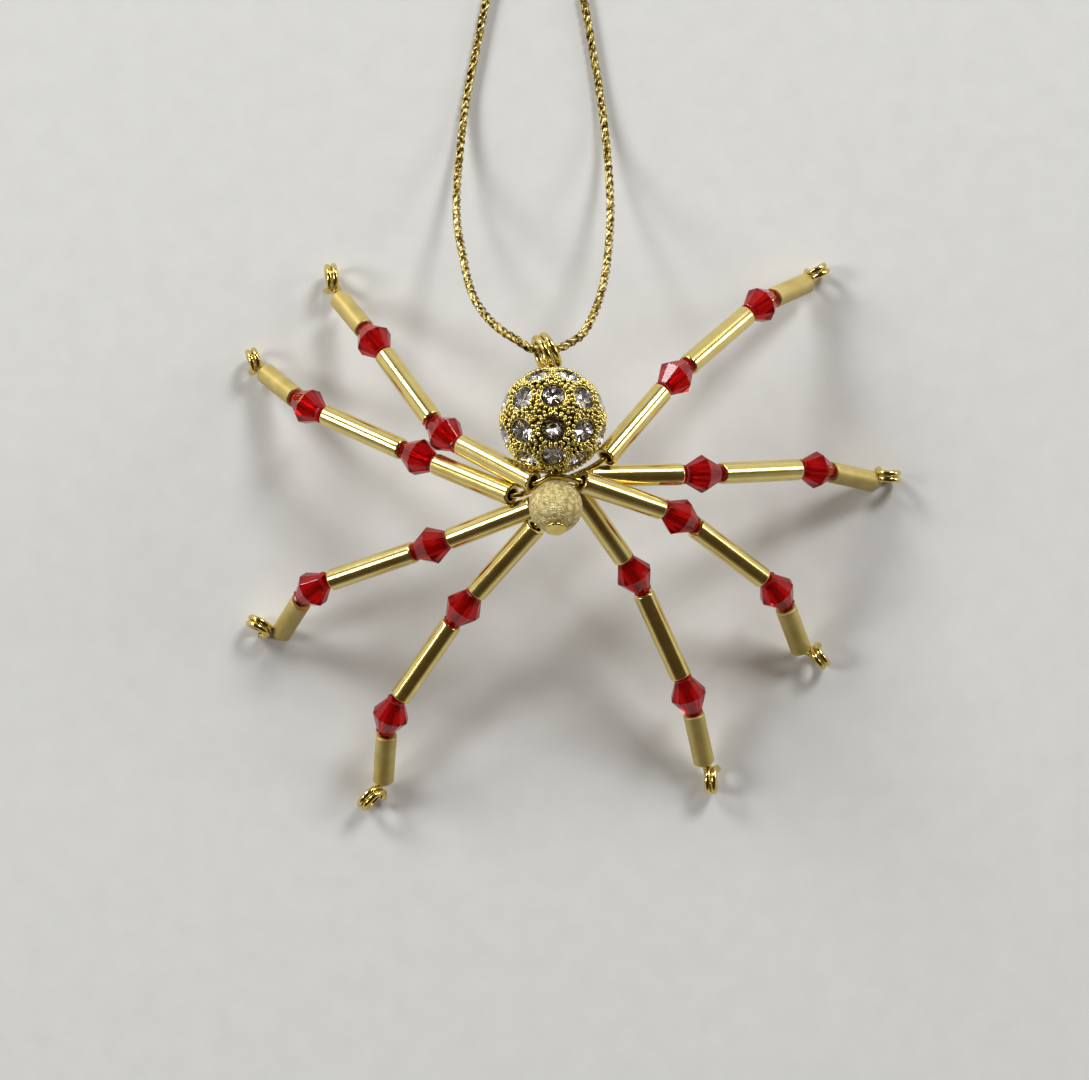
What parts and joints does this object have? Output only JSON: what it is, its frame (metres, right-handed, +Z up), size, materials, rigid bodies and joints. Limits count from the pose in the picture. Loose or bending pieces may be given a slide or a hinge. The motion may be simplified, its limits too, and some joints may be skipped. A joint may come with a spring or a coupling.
{
  "type": "beaded spider ornament",
  "caption": "Hanging ornament shaped as a spider, with a stone-set round abdomen, a matt round head and wire legs threaded with tube beads and red double cone beads, on a gold cord loop",
  "frame": {"origin": "centre of the ornament's standing footprint, on the surface it stands on", "axes": "+Z up from that surface, -Y the way the head faces, +Y the way the hanging eye and cord lie, +X across the body"},
  "size_m": [0.0806, 0.1353, 0.0279],
  "materials": {
    "tube": "lined with bright metal, glossy",
    "cone": "translucent, faceted",
    "wire": "polished",
    "abdomen": "cast granules, antique recesses, clear round stones",
    "head": "sparkling matt",
    "cord": "metallic twisted thread"
  },
  "bodies": {
    "root": {"leg_1_wire": "wire", "leg_1_inner_tube": "tube", "leg_1_knee_bead": "cone", "leg_1_middle_tube": "tube", "leg_1_ankle_bead": "cone", "leg_1_tip_tube": "tube", "leg_2_wire": "wire", "leg_2_inner_tube": "tube", "leg_2_knee_bead": "cone", "leg_2_middle_tube": "tube", "leg_2_ankle_bead": "cone", "leg_2_tip_tube": "tube", "leg_3_wire": "wire", "leg_3_inner_tube": "tube", "leg_3_knee_bead": "cone", "leg_3_middle_tube": "tube", "leg_3_ankle_bead": "cone", "leg_3_tip_tube": "tube", "leg_4_wire": "wire", "leg_4_inner_tube": "tube", "leg_4_knee_bead": "cone", "leg_4_middle_tube": "tube", "leg_4_ankle_bead": "cone", "leg_4_tip_tube": "tube", "leg_5_wire": "wire", "leg_5_inner_tube": "tube", "leg_5_knee_bead": "cone", "leg_5_middle_tube": "tube", "leg_5_ankle_bead": "cone", "leg_5_tip_tube": "tube", "leg_6_wire": "wire", "leg_6_inner_tube": "tube", "leg_6_knee_bead": "cone", "leg_6_middle_tube": "tube", "leg_6_ankle_bead": "cone", "leg_6_tip_tube": "tube", "leg_7_wire": "wire", "leg_7_inner_tube": "tube", "leg_7_knee_bead": "cone", "leg_7_middle_tube": "tube", "leg_7_ankle_bead": "cone", "leg_7_tip_tube": "tube", "leg_8_wire": "wire", "leg_8_inner_tube": "tube", "leg_8_knee_bead": "cone", "leg_8_middle_tube": "tube", "leg_8_ankle_bead": "cone", "leg_8_tip_tube": "tube", "abdomen_bead": "abdomen", "head_bead": "head", "core_wire": "wire", "cord_left": "cord", "cord_right": "cord", "cord_knot": "cord"}
  },
  "joints": []
}
